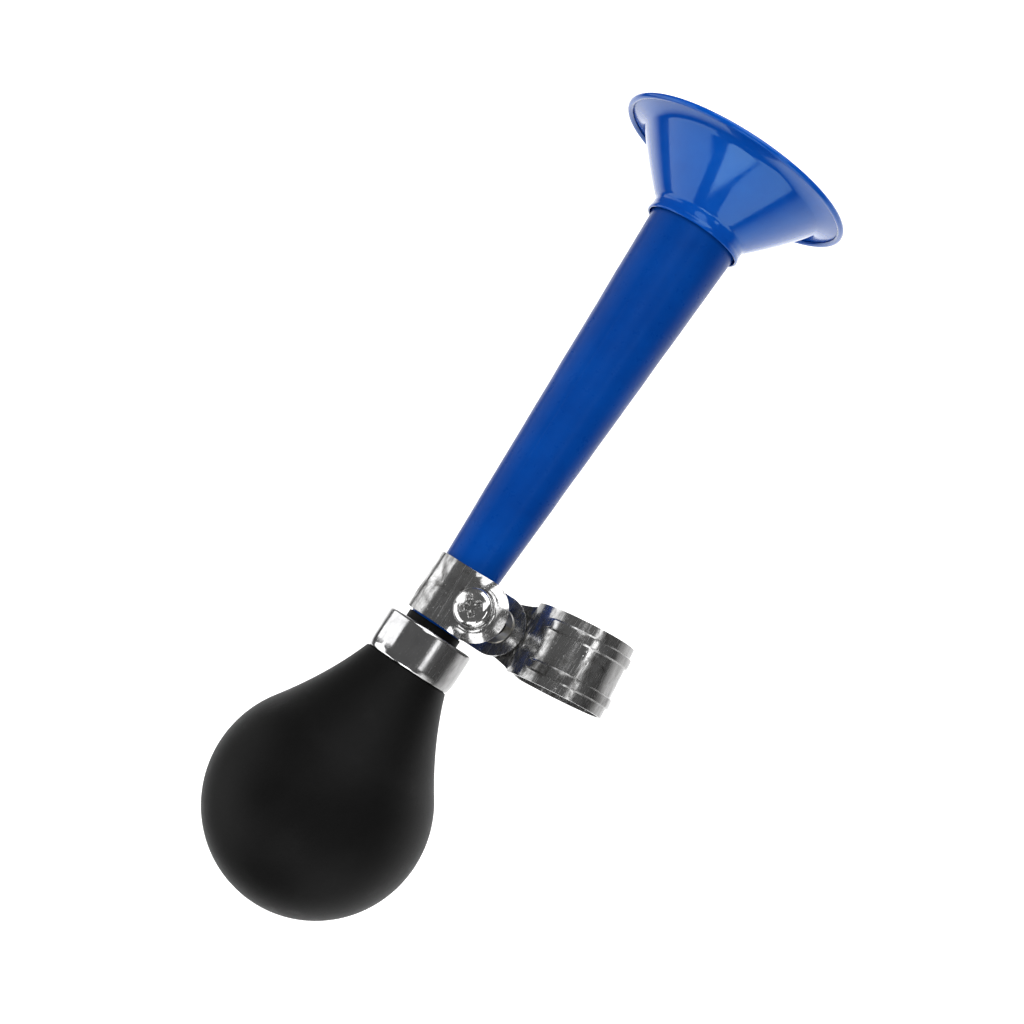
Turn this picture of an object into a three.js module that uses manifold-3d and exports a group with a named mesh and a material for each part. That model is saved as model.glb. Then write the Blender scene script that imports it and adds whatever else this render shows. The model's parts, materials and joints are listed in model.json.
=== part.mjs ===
// A bicycle bulb horn with its handlebar bracket. Millimetres, +Z up along the clamp screw, +X along the
// horn from the bulb to the bell. The origin is the centre of the hole that the handlebar goes through.
// Stations along the horn are measured from the collar's front face, and angles are in degrees.
import * as THREE from "three";
import { mergeVertices } from "three/addons/utils/BufferGeometryUtils.js";
import Module from "manifold-3d";

const wasm = await Module();
wasm.setup();

// Clearances between neighbouring pieces. The slide fit is for a piece that only just goes in.
const GAP = 0.3;
const SLIDE_FIT = 0.1;
const SCREW_CLEARANCE = 0.3;
const SCREW_TO_TUBE = 0.6;
const SEAT_TO_BAND = 0.4;
const EAR_TO_BAND = 0.375;

// Rubber bulb and its collar.
const BULB_RADIUS = 28.9;
const BULB_CENTRE = -50.8;
const BULB_WALL = 2.4;
const BULB_SHOULDER_ANGLE = 34.8;
const BULB_SHOULDER_PULL = 10;
const BULB_NECK_PULL = 5;
const BULB_NECK_SLOPE = -0.36;
const COLLAR_RADIUS = 12.1;
const COLLAR_LENGTH = 10.9;
const COLLAR_WALL = 0.8;
const COLLAR_EDGE = 0.5;
const LIP_LENGTH = 1.9;
const LIP_WALL = 1.3;

// Trumpet tube and the tube that joins it to the bulb.
const TUBE_START_RADIUS = 6.9;
const TUBE_TAPER = 0.0435;
const TUBE_WALL = 0.8;
const TUBE_END = 123.1;
const NECK_TUBE_WALL = 0.8;
const NECK_TUBE_START = -14;
const NECK_TUBE_END = 15;

// Bell: a sleeve over the tube's end, a cone, a flatter flange and a rolled rim.
const BELL_WALL = 0.6;
const SLEEVE_OVERLAP = 2.7;
const SLEEVE_LENGTH = 3.5;
const CONE_FOOT_LENGTH = 1.2;
const CONE_FOOT_RISE = 0.9;
const CONE_LENGTH = 15;
const CONE_RADIUS = 25.8;
const CONE_BULGE = 0.6;
const FLANGE_LENGTH = 2.4;
const FLANGE_PULL = 1.6;
const BELL_RADIUS = 32.4;
const RIM_ROLL_RADIUS = 0.55;
const RIM_ROLL_TURN = 250;

// Reed, held inside the neck tube.
const PLUG_LENGTH = 7;
const SHALLOT_RADIUS = 3.4;
const SHALLOT_WALL = 0.9;
const SHALLOT_LENGTH = 25;
const TONGUE_WIDTH = 5;
const TONGUE_LENGTH = 18;
const TONGUE_THICKNESS = 0.25;
const TONGUE_LIFT = 0.6;
const CLIP_LENGTH = 3;
const CLIP_RISE = 2.2;

// Strap round the horn.
const STRAP_WIDTH = 16;
const STRAP_SHEET = 0.8;
const STRAP_STATION = 10.4;
const STRAP_WRAP_ANGLE = 205;
const REAR_EAR_LIFT = 1.8;
const EAR_DISH_START = 5.5;
const EAR_DISH_DROP = 1.9;

// Screw, nut and washers.
const SCREW_RADIUS = 2.45;
const HEAD_RADIUS = 5;
const HEAD_EDGE = 1.5;
const HEAD_HEIGHT = 3.2;
const HEAD_CROWN = 0.9;
const RECESS_LENGTH = 6;
const RECESS_WIDTH = 1.3;
const RECESS_DEPTH = 2;
const SCREW_TAIL = 1.6;
const TOOTH_COUNT = 24;
const TOOTH_HEIGHT = 0.5;
const TOOTH_WIDTH = 0.8;
const TOOTH_PLATE = 0.6;
const TOOTH_SINK = 0.1;
const TOOTH_INSET = 0.5;
const TOOTH_WASHER_RADIUS = 4.8;
const TOOTH_WASHER_EDGE = 0.2;
const SEAT_RADIUS = 7.1;
const SEAT_RIM = 0.6;
const WASHER_RADIUS = 5;
const WASHER_THICKNESS = 0.9;
const LOCK_WASHER_RADIUS = 4.4;
const LOCK_WASHER_THICKNESS = 1.2;
const LOCK_WASHER_SPLIT = 0.8;
const NUT_ACROSS_FLATS = 8;
const NUT_HEIGHT = 4;

// Band round the handlebar, turned about the screw from square to the horn.
const BAR_RADIUS = 12.1;
const BAND_SHEET = 1;
const BAND_WIDTH = 19;
const BAND_EAR_GAP = 1.4;
const BAND_EAR_MARGIN = 0.2;
const BAND_FILLET = 2;
const BAND_SHOULDER = 12.5;
const BAND_TURN = 7;
const RIB_OFFSET = 5.5;
const RIB_WIDTH = 2.8;
const RIB_HEIGHT = 0.6;
const RIB_START = 76;

// Cutting solids reach at least this far past what they cut.
const CUT = 200;

const ROUND_SEGMENTS = 40;
const SMALL_SEGMENTS = 24;
const CURVE_POINTS = 6;
const FEW_CURVE_POINTS = 4;

const radians = THREE.MathUtils.degToRad;

const paint = { color: 0x0a45a8, roughness: 0.18, metalness: 0 };
const chrome = { color: 0xc8c9cb, roughness: 0.12, metalness: 1 };
const brass = { color: 0xb98c3c, roughness: 0.3, metalness: 1 };
const rubber = { color: 0x1b1b1b, roughness: 0.6, metalness: 0 };
const zinc = { color: 0xa9abad, roughness: 0.3, metalness: 1 };

// ---- Solids: closed geometries in, manifolds joined or cut, a geometry out ----

function solid(geometry) {
  const bare = geometry.index ? geometry.toNonIndexed() : geometry.clone();
  bare.deleteAttribute("normal");
  bare.deleteAttribute("uv");
  const merged = mergeVertices(bare, 1e-4);
  return new wasm.Manifold(
    new wasm.Mesh({
      numProp: 3,
      vertProperties: merged.attributes.position.array,
      triVerts: new Uint32Array(merged.index.array),
    }),
  );
}

function geometryOf(manifold) {
  const mesh = manifold.getMesh();
  const geometry = new THREE.BufferGeometry();
  geometry.setAttribute("position", new THREE.BufferAttribute(mesh.vertProperties, 3));
  geometry.setIndex(new THREE.BufferAttribute(mesh.triVerts, 1));
  geometry.computeVertexNormals();
  return geometry;
}

// A closed outline of (station, radius) points turned about the X axis.
function turned(outline, segments = ROUND_SEGMENTS) {
  const profile = outline.map((p) => new THREE.Vector2(Math.max(p.y, 0), p.x));
  if (profile[0].x > 0 || profile[profile.length - 1].x > 0) {
    profile.push(profile[0].clone());
  }
  if (THREE.ShapeUtils.area(profile) < 0) {
    profile.reverse();
  }
  return new THREE.LatheGeometry(profile, segments).rotateZ(-Math.PI / 2);
}

// An outline in the XY plane raised from z = low to z = high.
function raised(shape, low, high, segments = 2 * CURVE_POINTS) {
  const options = { depth: high - low, bevelEnabled: false, curveSegments: segments };
  return new THREE.ExtrudeGeometry(shape, options).translate(0, 0, low);
}

// An outline of (y, z) points carried along X, with its middle at x = 0.
function alongX(shape, length) {
  const options = { depth: length, bevelEnabled: false, curveSegments: CURVE_POINTS };
  return new THREE.ExtrudeGeometry(shape, options)
    .rotateX(Math.PI / 2)
    .rotateZ(Math.PI / 2)
    .translate(-length / 2, 0, 0);
}

// An upright cylinder round the screw's axis, from z = low to z = high.
function post(radius, low, high) {
  return new THREE.CylinderGeometry(radius, radius, high - low, SMALL_SEGMENTS)
    .rotateX(Math.PI / 2)
    .translate(0, 0, (low + high) / 2);
}

function ring(outer, inner, low, high) {
  return solid(post(outer, low, high)).subtract(solid(post(inner, low - 1, high + 1)));
}

// The closed outline of a bent sheet: its middle line moved half the thickness to each side.
function sheetOutline(path, thickness, points = CURVE_POINTS) {
  const line = path.getPoints(points).filter((p, i, all) => !i || p.distanceTo(all[i - 1]) > 1e-6);
  const normals = line.map((p, i) => {
    const before = line[Math.max(i - 1, 0)];
    const after = line[Math.min(i + 1, line.length - 1)];
    const into = p.clone().sub(before).normalize();
    const out = after.clone().sub(p).normalize();
    const along = into.add(out).normalize();
    return new THREE.Vector2(-along.y, along.x);
  });
  const side = (sign) => line.map((p, i) => p.clone().addScaledVector(normals[i], (sign * thickness) / 2));
  return [...side(1), ...side(-1).reverse()];
}

// ---- Stack heights on the screw, from the head down ----

const tubeRadius = (station) => TUBE_START_RADIUS + TUBE_TAPER * station;
const strapEnd = STRAP_STATION + STRAP_WIDTH / 2;
const strapRadius = tubeRadius(strapEnd) + GAP + STRAP_SHEET / 2;
const screwOffset = tubeRadius(STRAP_STATION) + SCREW_RADIUS + SCREW_TO_TUBE;
const headSeat = strapRadius + STRAP_SHEET / 2 + GAP;
const rearEarHeight = REAR_EAR_LIFT - strapRadius;
const rearEarUnderside = rearEarHeight - STRAP_SHEET / 2;
const toothWasherTop = rearEarUnderside - GAP;
const toothWasherTips = toothWasherTop - TOOTH_PLATE - TOOTH_HEIGHT;
const seatTips = toothWasherTips - GAP;
const seatUnderside = seatTips - TOOTH_HEIGHT - TOOTH_PLATE;
const frontEarTop = seatUnderside - GAP;
const bandHeight = frontEarTop - BAND_SHEET - BAND_EAR_GAP / 2;
const bandEarRise = (BAND_EAR_GAP + BAND_SHEET) / 2;
const washerTop = bandHeight - bandEarRise - BAND_SHEET / 2 - GAP;
const lockWasherTop = washerTop - WASHER_THICKNESS - GAP;
const nutTop = lockWasherTop - LOCK_WASHER_THICKNESS - GAP;
const nutUnderside = nutTop - NUT_HEIGHT;
const screwEnd = nutUnderside - SCREW_TAIL;
const holeRadius = SCREW_RADIUS + SCREW_CLEARANCE;
const bandOuterRadius = BAR_RADIUS + SLIDE_FIT + BAND_SHEET;
const bandClearOfSeat = bandOuterRadius + SEAT_RADIUS + SEAT_TO_BAND;
const bandBelowEar = rearEarUnderside - bandHeight;
const bandClearOfEar = STRAP_WIDTH / 2 + Math.sqrt((bandOuterRadius + EAR_TO_BAND) ** 2 - bandBelowEar ** 2);
const bandDistance = Math.max(bandClearOfSeat, bandClearOfEar);
const bandEarRadius = SEAT_RADIUS + BAND_EAR_MARGIN;

// ---- Horn, turned about the X axis ----

const tubeStart = LIP_LENGTH + GAP;
const neckTubeRadius = tubeRadius(tubeStart) - TUBE_WALL - GAP;

// The bulb's side: part of a sphere that runs on in a hollow curve to the neck.
function bulbSide(radius, neckStation, neckRadius) {
  const lean = radians(BULB_SHOULDER_ANGLE);
  const leave = new THREE.Vector2(BULB_CENTRE + radius * Math.sin(lean), radius * Math.cos(lean));
  const path = new THREE.Path();
  path.absarc(BULB_CENTRE, 0, radius, Math.PI, Math.PI / 2 - lean, true);
  path.bezierCurveTo(
    leave.x + BULB_SHOULDER_PULL,
    leave.y - BULB_SHOULDER_PULL * Math.tan(lean),
    neckStation - BULB_NECK_PULL,
    neckRadius - BULB_NECK_PULL * BULB_NECK_SLOPE,
    neckStation,
    neckRadius,
  );
  return path.getPoints(FEW_CURVE_POINTS);
}

function bulb() {
  const bore = neckTubeRadius + GAP;
  const neckRadius = COLLAR_RADIUS - COLLAR_WALL - GAP;
  const neckFront = -COLLAR_WALL - GAP;
  const shoulder = -COLLAR_LENGTH - GAP;
  const outer = bulbSide(BULB_RADIUS, shoulder, COLLAR_RADIUS - COLLAR_EDGE);
  const inner = bulbSide(BULB_RADIUS - BULB_WALL, shoulder, bore);
  return turned([
    ...outer,
    new THREE.Vector2(shoulder, neckRadius),
    new THREE.Vector2(neckFront, neckRadius),
    new THREE.Vector2(neckFront, bore + LIP_WALL),
    new THREE.Vector2(LIP_LENGTH, bore + LIP_WALL),
    new THREE.Vector2(LIP_LENGTH, bore),
    ...inner.reverse(),
  ]);
}

function bulbCollar() {
  const inner = COLLAR_RADIUS - COLLAR_WALL;
  const hole = neckTubeRadius + GAP + LIP_WALL + GAP;
  return turned([
    new THREE.Vector2(-COLLAR_LENGTH, inner),
    new THREE.Vector2(-COLLAR_LENGTH, COLLAR_RADIUS - COLLAR_EDGE),
    new THREE.Vector2(-COLLAR_LENGTH + 2 * COLLAR_EDGE, COLLAR_RADIUS),
    new THREE.Vector2(-COLLAR_EDGE / 2, COLLAR_RADIUS),
    new THREE.Vector2(0, COLLAR_RADIUS - COLLAR_EDGE / 2),
    new THREE.Vector2(0, hole),
    new THREE.Vector2(-COLLAR_WALL, hole),
    new THREE.Vector2(-COLLAR_WALL, inner),
  ]);
}

function trumpetTube() {
  return turned([
    new THREE.Vector2(tubeStart, tubeRadius(tubeStart)),
    new THREE.Vector2(TUBE_END, tubeRadius(TUBE_END)),
    new THREE.Vector2(TUBE_END, tubeRadius(TUBE_END) - TUBE_WALL),
    new THREE.Vector2(tubeStart, tubeRadius(tubeStart) - TUBE_WALL),
  ]);
}

function bellFlare() {
  const sleeveRadius = tubeRadius(TUBE_END) + GAP + BELL_WALL / 2;
  const coneStart = TUBE_END - SLEEVE_OVERLAP + SLEEVE_LENGTH;
  const footEnd = coneStart + CONE_FOOT_LENGTH;
  const coneEnd = coneStart + CONE_LENGTH;
  const coneMiddle = coneStart + CONE_LENGTH / 2;
  const flangeEnd = coneEnd + FLANGE_LENGTH;
  const rollCentre = BELL_RADIUS - BELL_WALL / 2 - RIM_ROLL_RADIUS;
  const footRadius = sleeveRadius + CONE_FOOT_RISE;
  const path = new THREE.Path();
  path.moveTo(coneStart - SLEEVE_LENGTH, sleeveRadius);
  path.lineTo(coneStart, sleeveRadius);
  path.quadraticCurveTo(coneStart + CONE_FOOT_LENGTH / 2, sleeveRadius, footEnd, footRadius);
  path.quadraticCurveTo(coneMiddle, (sleeveRadius + CONE_RADIUS) / 2 + CONE_BULGE, coneEnd, CONE_RADIUS);
  path.quadraticCurveTo(coneEnd + FLANGE_PULL, CONE_RADIUS + FLANGE_PULL, flangeEnd, rollCentre);
  path.absarc(flangeEnd - RIM_ROLL_RADIUS, rollCentre, RIM_ROLL_RADIUS, 0, radians(RIM_ROLL_TURN), false);
  return turned(sheetOutline(path, BELL_WALL, FEW_CURVE_POINTS));
}

function neckTube() {
  const inner = neckTubeRadius - NECK_TUBE_WALL;
  return turned([
    new THREE.Vector2(NECK_TUBE_START, neckTubeRadius),
    new THREE.Vector2(NECK_TUBE_END, neckTubeRadius),
    new THREE.Vector2(NECK_TUBE_END, inner),
    new THREE.Vector2(NECK_TUBE_START, inner),
  ]);
}

// ---- Reed ----

const plugStart = NECK_TUBE_START + 1;
const plugEnd = plugStart + PLUG_LENGTH;
const tongueStart = plugEnd + GAP;

function reedPlug() {
  const radius = neckTubeRadius - NECK_TUBE_WALL - GAP;
  const bore = SHALLOT_RADIUS + SLIDE_FIT;
  return turned(
    [
      new THREE.Vector2(plugStart, radius),
      new THREE.Vector2(plugEnd, radius),
      new THREE.Vector2(plugEnd, bore),
      new THREE.Vector2(plugStart, bore),
    ],
    SMALL_SEGMENTS,
  );
}

// A half of a space, as a big box above or below a height.
function half(low, high) {
  return solid(new THREE.BoxGeometry(2 * CUT, 2 * CUT, high - low).translate(0, 0, (low + high) / 2));
}

// A tube in the plug that runs on as an open channel with a closed tip.
function reedShallot() {
  const bore = SHALLOT_RADIUS - SHALLOT_WALL;
  const end = plugStart + SHALLOT_LENGTH;
  const rod = (from, to, radius) =>
    new THREE.CylinderGeometry(radius, radius, to - from, SMALL_SEGMENTS)
      .rotateZ(Math.PI / 2)
      .translate((from + to) / 2, 0, 0);
  const channelTop = new THREE.BoxGeometry(end - plugEnd, 4 * SHALLOT_RADIUS, 2 * SHALLOT_RADIUS);
  channelTop.translate((end + plugEnd) / 2 + GAP / 2, 0, SHALLOT_RADIUS);
  const body = solid(rod(plugStart, end, SHALLOT_RADIUS));
  const hollow = solid(rod(plugStart - 1, end - SHALLOT_WALL, bore));
  return geometryOf(body.subtract(hollow).subtract(solid(channelTop)));
}

function reedTongue() {
  return new THREE.BoxGeometry(TONGUE_LENGTH, TONGUE_WIDTH, TONGUE_THICKNESS).translate(
    tongueStart + GAP + TONGUE_LENGTH / 2,
    0,
    TONGUE_LIFT + TONGUE_THICKNESS / 2,
  );
}

function reedClip() {
  const low = TONGUE_LIFT + TONGUE_THICKNESS + GAP;
  const rod = new THREE.CylinderGeometry(SHALLOT_RADIUS, SHALLOT_RADIUS, CLIP_LENGTH, SMALL_SEGMENTS)
    .rotateZ(Math.PI / 2)
    .translate(tongueStart + GAP + CLIP_LENGTH / 2, 0, 0);
  return geometryOf(solid(rod).intersect(half(low, low + CLIP_RISE)));
}

// ---- Strap round the horn, with the screw's axis at x = 0, y = 0 and the horn's axis at z = 0 ----

// The rim of the front ear: a sheet ring that slopes down and outwards, kept on the side away from the horn.
function earDish() {
  const top = strapRadius + STRAP_SHEET / 2;
  const low = top - STRAP_SHEET;
  const inside = EAR_DISH_START - STRAP_SHEET;
  const edge = STRAP_WIDTH / 2;
  const section = [
    new THREE.Vector2(inside, low),
    new THREE.Vector2(EAR_DISH_START, low),
    new THREE.Vector2(edge, low - EAR_DISH_DROP),
    new THREE.Vector2(edge, top - EAR_DISH_DROP),
    new THREE.Vector2(EAR_DISH_START, top),
    new THREE.Vector2(inside, top),
    new THREE.Vector2(inside, low),
  ];
  return solid(new THREE.LatheGeometry(section, ROUND_SEGMENTS).rotateX(Math.PI / 2));
}

function hornStrap() {
  const turn = radians(STRAP_WRAP_ANGLE);
  const lastAngle = Math.PI / 2 - turn;
  const leave = new THREE.Vector2(Math.cos(lastAngle), Math.sin(lastAngle)).multiplyScalar(strapRadius);
  const slope = -Math.cos(lastAngle) / Math.sin(lastAngle);
  const earStart = leave.x + (rearEarHeight - leave.y) / slope;
  const earRadius = STRAP_WIDTH / 2;
  const earEnd = -screwOffset - earRadius - 1;
  const path = new THREE.Path();
  path.moveTo(earEnd, strapRadius);
  path.lineTo(0, strapRadius);
  path.absarc(0, 0, strapRadius, Math.PI / 2, lastAngle, true);
  path.lineTo(earStart, rearEarHeight);
  path.lineTo(earEnd, rearEarHeight);
  const section = new THREE.Shape(sheetOutline(path, STRAP_SHEET));
  const wrap = alongX(section, STRAP_WIDTH).translate(0, screwOffset, 0);
  const back = screwOffset + strapRadius + STRAP_SHEET;
  const outline = new THREE.Shape();
  outline.moveTo(earRadius, back);
  outline.lineTo(-earRadius, back);
  outline.absarc(0, 0, earRadius, Math.PI, 2 * Math.PI);
  const plan = raised(outline, -CUT, CUT, CURVE_POINTS);
  const outerEnd = solid(new THREE.BoxGeometry(CUT, CUT, CUT).translate(0, -CUT / 2, CUT / 2));
  const flatRim = ring(earRadius + 1, EAR_DISH_START, 0, CUT).intersect(outerEnd);
  const flat = solid(wrap).intersect(solid(plan)).subtract(flatRim);
  const hole = solid(post(holeRadius, -CUT, CUT));
  return geometryOf(flat.add(earDish().intersect(outerEnd)).subtract(hole));
}

// ---- Screw stack, about the screw's axis ----

function clampScrew() {
  const dome = new THREE.Path();
  dome.moveTo(0, screwEnd);
  dome.lineTo(SCREW_RADIUS, screwEnd);
  dome.lineTo(SCREW_RADIUS, headSeat);
  dome.lineTo(HEAD_RADIUS, headSeat);
  dome.lineTo(HEAD_RADIUS, headSeat + HEAD_EDGE);
  dome.quadraticCurveTo(HEAD_RADIUS * HEAD_CROWN, headSeat + HEAD_HEIGHT, 0, headSeat + HEAD_HEIGHT);
  const body = new THREE.LatheGeometry(dome.getPoints(CURVE_POINTS), SMALL_SEGMENTS).rotateX(Math.PI / 2);
  const top = headSeat + HEAD_HEIGHT;
  const arm = new THREE.BoxGeometry(RECESS_LENGTH, RECESS_WIDTH, 2 * RECESS_DEPTH).translate(0, 0, top);
  const cross = solid(arm).add(solid(arm.clone().rotateZ(Math.PI / 2)));
  return geometryOf(solid(body).subtract(cross));
}

// A toothed plate whose radial teeth stand on its face at z = 0, pointing up.
function toothedPlate(radius, reach) {
  const inner = holeRadius + TOOTH_INSET;
  const section = new THREE.Shape();
  section.moveTo(-TOOTH_WIDTH / 2, -TOOTH_SINK);
  section.lineTo(TOOTH_WIDTH / 2, -TOOTH_SINK);
  section.lineTo(0, TOOTH_HEIGHT);
  const tooth = alongX(section, reach - inner).translate((reach + inner) / 2, 0, 0);
  let plate = ring(radius, holeRadius, -TOOTH_PLATE, 0);
  for (let i = 0; i < TOOTH_COUNT; i++) {
    plate = plate.add(solid(tooth.clone().rotateZ((2 * Math.PI * i) / TOOTH_COUNT)));
  }
  return plate;
}

function toothWasher() {
  const plate = toothedPlate(TOOTH_WASHER_RADIUS, TOOTH_WASHER_RADIUS - TOOTH_WASHER_EDGE);
  return geometryOf(plate).rotateX(Math.PI).translate(0, 0, toothWasherTop - TOOTH_PLATE);
}

function serratedSeat() {
  const rimInner = SEAT_RADIUS - SEAT_RIM;
  const rim = ring(SEAT_RADIUS, rimInner, -TOOTH_PLATE / 2, TOOTH_HEIGHT);
  const plate = toothedPlate(SEAT_RADIUS, rimInner + SEAT_RIM / 2).add(rim);
  return geometryOf(plate).translate(0, 0, seatTips - TOOTH_HEIGHT);
}

function nutWasher() {
  return geometryOf(ring(WASHER_RADIUS, holeRadius, washerTop - WASHER_THICKNESS, washerTop));
}

function lockWasher() {
  const low = lockWasherTop - LOCK_WASHER_THICKNESS;
  const split = new THREE.BoxGeometry(2 * LOCK_WASHER_RADIUS, LOCK_WASHER_SPLIT, 4 * LOCK_WASHER_THICKNESS);
  split.translate(LOCK_WASHER_RADIUS, 0, low);
  return geometryOf(ring(LOCK_WASHER_RADIUS, holeRadius, low, lockWasherTop).subtract(solid(split)));
}

function clampNut() {
  const corner = NUT_ACROSS_FLATS / Math.sqrt(3);
  const hexagon = new THREE.CylinderGeometry(corner, corner, NUT_HEIGHT, 6)
    .rotateX(Math.PI / 2)
    .translate(0, 0, nutTop - NUT_HEIGHT / 2);
  const bore = post(SCREW_RADIUS + SLIDE_FIT, nutUnderside - 1, nutTop + 1);
  return geometryOf(solid(hexagon).subtract(solid(bore)));
}

// ---- Band round the handlebar, with the screw's axis at x = 0, y = 0 ----

function handlebarBand() {
  const middle = BAR_RADIUS + SLIDE_FIT + BAND_SHEET / 2;
  const reach = middle + BAND_FILLET;
  const filletHeight = bandEarRise + BAND_FILLET;
  const filletY = -bandDistance + Math.sqrt(reach * reach - filletHeight * filletHeight);
  const meet = Math.asin(filletHeight / reach);
  const earEnd = bandEarRadius + 1;
  const path = new THREE.Path();
  path.moveTo(earEnd, bandEarRise);
  path.lineTo(filletY, bandEarRise);
  path.absarc(filletY, filletHeight, BAND_FILLET, -Math.PI / 2, meet - Math.PI, true);
  path.absarc(-bandDistance, 0, middle, meet, Math.PI, false);
  path.absarc(-bandDistance, 0, middle, Math.PI, 2 * Math.PI - meet, false);
  path.absarc(filletY, -filletHeight, BAND_FILLET, Math.PI - meet, Math.PI / 2, true);
  path.lineTo(earEnd, -bandEarRise);
  const section = new THREE.Shape(sheetOutline(path, BAND_SHEET));
  const loop = alongX(section, BAND_WIDTH).translate(0, 0, bandHeight);

  const halfWidth = BAND_WIDTH / 2;
  const far = -bandDistance - 2 * middle;
  const plan = new THREE.Shape();
  plan.moveTo(-halfWidth, far);
  plan.lineTo(halfWidth, far);
  plan.lineTo(halfWidth, -BAND_SHOULDER);
  plan.quadraticCurveTo(halfWidth, -bandEarRadius, bandEarRadius, 0);
  plan.absarc(0, 0, bandEarRadius, 0, Math.PI);
  plan.quadraticCurveTo(-halfWidth, -bandEarRadius, -halfWidth, -BAND_SHOULDER);
  const reachZ = 2 * middle;
  const outline = raised(plan, bandHeight - reachZ, bandHeight + reachZ);

  const outside = middle + BAND_SHEET / 2;
  const arc = new THREE.Shape();
  const first = radians(RIB_START);
  const last = 2 * Math.PI - first;
  arc.absarc(-bandDistance, 0, outside + RIB_HEIGHT, first, last, false);
  arc.absarc(-bandDistance, 0, middle, last, first, true);
  const ribOptions = { depth: RIB_WIDTH, bevelEnabled: false, curveSegments: 2 * CURVE_POINTS };
  const rib = (offset) =>
    solid(
      new THREE.ExtrudeGeometry(arc, ribOptions)
        .rotateX(Math.PI / 2)
        .rotateZ(Math.PI / 2)
        .translate(offset - RIB_WIDTH / 2, 0, bandHeight),
    );
  const hole = solid(post(holeRadius, bandHeight - reachZ, bandHeight + reachZ));
  const band = solid(loop).intersect(solid(outline)).subtract(hole);
  return geometryOf(band.add(rib(RIB_OFFSET)).add(rib(-RIB_OFFSET)));
}

// ---- Assembly ----

function mesh(name, geometry, finish) {
  const made = new THREE.Mesh(geometry, new THREE.MeshStandardMaterial(finish));
  made.name = name;
  return made;
}

const horn = new THREE.Group();
horn.add(
  mesh("trumpet_tube", trumpetTube(), paint),
  mesh("bell_flare", bellFlare(), paint),
  mesh("bulb", bulb(), rubber),
  mesh("bulb_collar", bulbCollar(), chrome),
  mesh("neck_tube", neckTube(), zinc),
  mesh("reed_plug", reedPlug(), brass),
  mesh("reed_shallot", reedShallot(), brass),
  mesh("reed_tongue", reedTongue(), brass),
  mesh("reed_clip", reedClip(), brass),
);

const stack = new THREE.Group();
stack.position.set(STRAP_STATION, -screwOffset, 0);
stack.add(
  mesh("horn_strap", hornStrap(), chrome),
  mesh("tooth_washer", toothWasher(), zinc),
  mesh("clamp_screw", clampScrew(), chrome),
);

const bracket = new THREE.Group();
bracket.rotation.z = radians(BAND_TURN);
bracket.add(
  mesh("serrated_seat", serratedSeat(), chrome),
  mesh("handlebar_band", handlebarBand(), chrome),
  mesh("nut_washer", nutWasher(), zinc),
  mesh("lock_washer", lockWasher(), zinc),
  mesh("clamp_nut", clampNut(), zinc),
);
stack.add(bracket);

const whole = new THREE.Group();
const turn = radians(BAND_TURN);
whole.position.set(
  -STRAP_STATION - bandDistance * Math.sin(turn),
  screwOffset + bandDistance * Math.cos(turn),
  -bandHeight,
);
whole.add(horn, stack);

const bulbHorn = new THREE.Group();
bulbHorn.add(whole);

export default bulbHorn;
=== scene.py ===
"""A bicycle bulb horn: a rubber bulb, a painted trumpet with a flared bell and a plated screw bracket.

Shapes are worked out in millimetres. The horn's own pieces use (station, y, z) with the horn's axis on
y = z = 0 and station 0 at the collar's front face. The bracket's pieces use (x, y, z) with the clamp
screw's axis on x = y = 0. place_horn, place_strap and place_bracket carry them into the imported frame,
in metres.
"""

import json
import math

import bmesh
import bpy
import numpy as np
from mathutils import Matrix, Vector


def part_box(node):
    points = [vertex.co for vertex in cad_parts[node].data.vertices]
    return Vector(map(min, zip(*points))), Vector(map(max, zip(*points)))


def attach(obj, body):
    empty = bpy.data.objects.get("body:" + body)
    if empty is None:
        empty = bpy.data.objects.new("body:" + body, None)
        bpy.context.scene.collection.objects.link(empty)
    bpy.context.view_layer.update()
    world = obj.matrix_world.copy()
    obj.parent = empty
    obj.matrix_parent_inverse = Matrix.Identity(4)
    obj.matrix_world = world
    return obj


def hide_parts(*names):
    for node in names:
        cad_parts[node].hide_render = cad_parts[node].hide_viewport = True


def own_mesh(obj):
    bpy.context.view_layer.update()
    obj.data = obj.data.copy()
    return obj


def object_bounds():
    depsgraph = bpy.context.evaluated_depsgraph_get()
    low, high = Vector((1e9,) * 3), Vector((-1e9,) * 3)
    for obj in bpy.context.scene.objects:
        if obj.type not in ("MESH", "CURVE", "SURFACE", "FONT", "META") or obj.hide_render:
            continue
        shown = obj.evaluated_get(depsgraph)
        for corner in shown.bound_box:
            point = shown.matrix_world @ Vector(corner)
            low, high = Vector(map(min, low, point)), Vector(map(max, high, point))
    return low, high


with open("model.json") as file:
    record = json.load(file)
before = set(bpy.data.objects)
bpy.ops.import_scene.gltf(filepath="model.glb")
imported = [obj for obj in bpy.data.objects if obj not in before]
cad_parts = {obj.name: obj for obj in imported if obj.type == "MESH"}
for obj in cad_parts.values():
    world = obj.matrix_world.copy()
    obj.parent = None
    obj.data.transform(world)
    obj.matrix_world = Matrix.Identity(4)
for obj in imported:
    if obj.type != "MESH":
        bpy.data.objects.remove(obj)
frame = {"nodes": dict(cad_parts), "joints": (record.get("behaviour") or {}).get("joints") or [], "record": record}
cad_box = [list(corner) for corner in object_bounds()]

MM = 0.001
TAU = 2 * math.pi

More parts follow.
